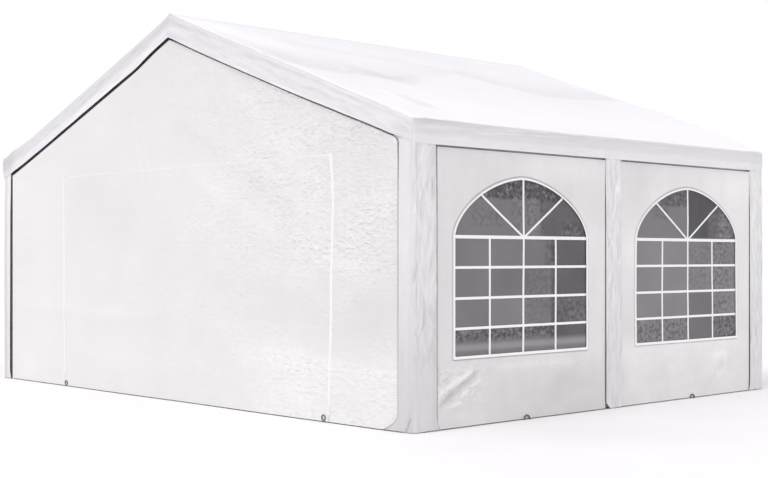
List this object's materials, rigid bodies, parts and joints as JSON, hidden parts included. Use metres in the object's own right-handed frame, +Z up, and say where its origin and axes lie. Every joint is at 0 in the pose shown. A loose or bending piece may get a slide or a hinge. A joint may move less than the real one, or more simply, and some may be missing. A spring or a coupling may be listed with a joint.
{
  "type": "marquee tent",
  "caption": "Free-standing marquee tent: white cloth roof with valance and zipped gable walls, side walls with arched barred windows, on a steel tube frame.",
  "frame": {"origin": "on the ground, under the middle of the ridge", "axes": "+X across the gable towards the side seen in the picture, +Y along the ridge away from the front gable, +Z up"},
  "size_m": [5.09, 3.99, 2.866],
  "materials": {
    "white_cloth": "coated woven polyethylene, satin",
    "window_film": "clear flexible film, wrinkled",
    "zip_tape": "white zip and seam tape",
    "galvanised_steel": "galvanised"
  },
  "bodies": {
    "root": {"corner_cover_left_back": "white_cloth", "corner_cover_left_front": "white_cloth", "corner_cover_right_back": "white_cloth", "corner_cover_right_front": "white_cloth", "door_panel_back": "white_cloth", "door_panel_front": "white_cloth", "door_zip_back": "zip_tape", "door_zip_front": "zip_tape", "eave_connector_left_back": "galvanised_steel", "eave_connector_left_front": "galvanised_steel", "eave_connector_left_middle": "galvanised_steel", "eave_connector_right_back": "galvanised_steel", "eave_connector_right_front": "galvanised_steel", "eave_connector_right_middle": "galvanised_steel", "eave_tube_left_back": "galvanised_steel", "eave_tube_left_front": "galvanised_steel", "eave_tube_right_back": "galvanised_steel", "eave_tube_right_front": "galvanised_steel", "gable_valance_back": "white_cloth", "gable_valance_front": "white_cloth", "gable_wall_back": "white_cloth", "gable_wall_front": "white_cloth", "post_cover_left": "white_cloth", "post_cover_right": "white_cloth", "post_left_back": "galvanised_steel", "post_left_front": "galvanised_steel", "post_left_middle": "galvanised_steel", "post_right_back": "galvanised_steel", "post_right_front": "galvanised_steel", "post_right_middle": "galvanised_steel", "rafter_left_back": "galvanised_steel", "rafter_left_front": "galvanised_steel", "rafter_left_middle": "galvanised_steel", "rafter_right_back": "galvanised_steel", "rafter_right_front": "galvanised_steel", "rafter_right_middle": "galvanised_steel", "ridge_connector_back": "galvanised_steel", "ridge_connector_front": "galvanised_steel", "ridge_connector_middle": "galvanised_steel", "ridge_tube_back": "galvanised_steel", "ridge_tube_front": "galvanised_steel", "roof_canopy": "white_cloth", "side_wall_left_back": "white_cloth", "side_wall_left_front": "white_cloth", "side_wall_right_back": "white_cloth", "side_wall_right_front": "white_cloth", "window_film_left_back": "window_film", "window_film_left_front": "window_film", "window_film_right_back": "window_film", "window_film_right_front": "window_film"}
  },
  "joints": []
}
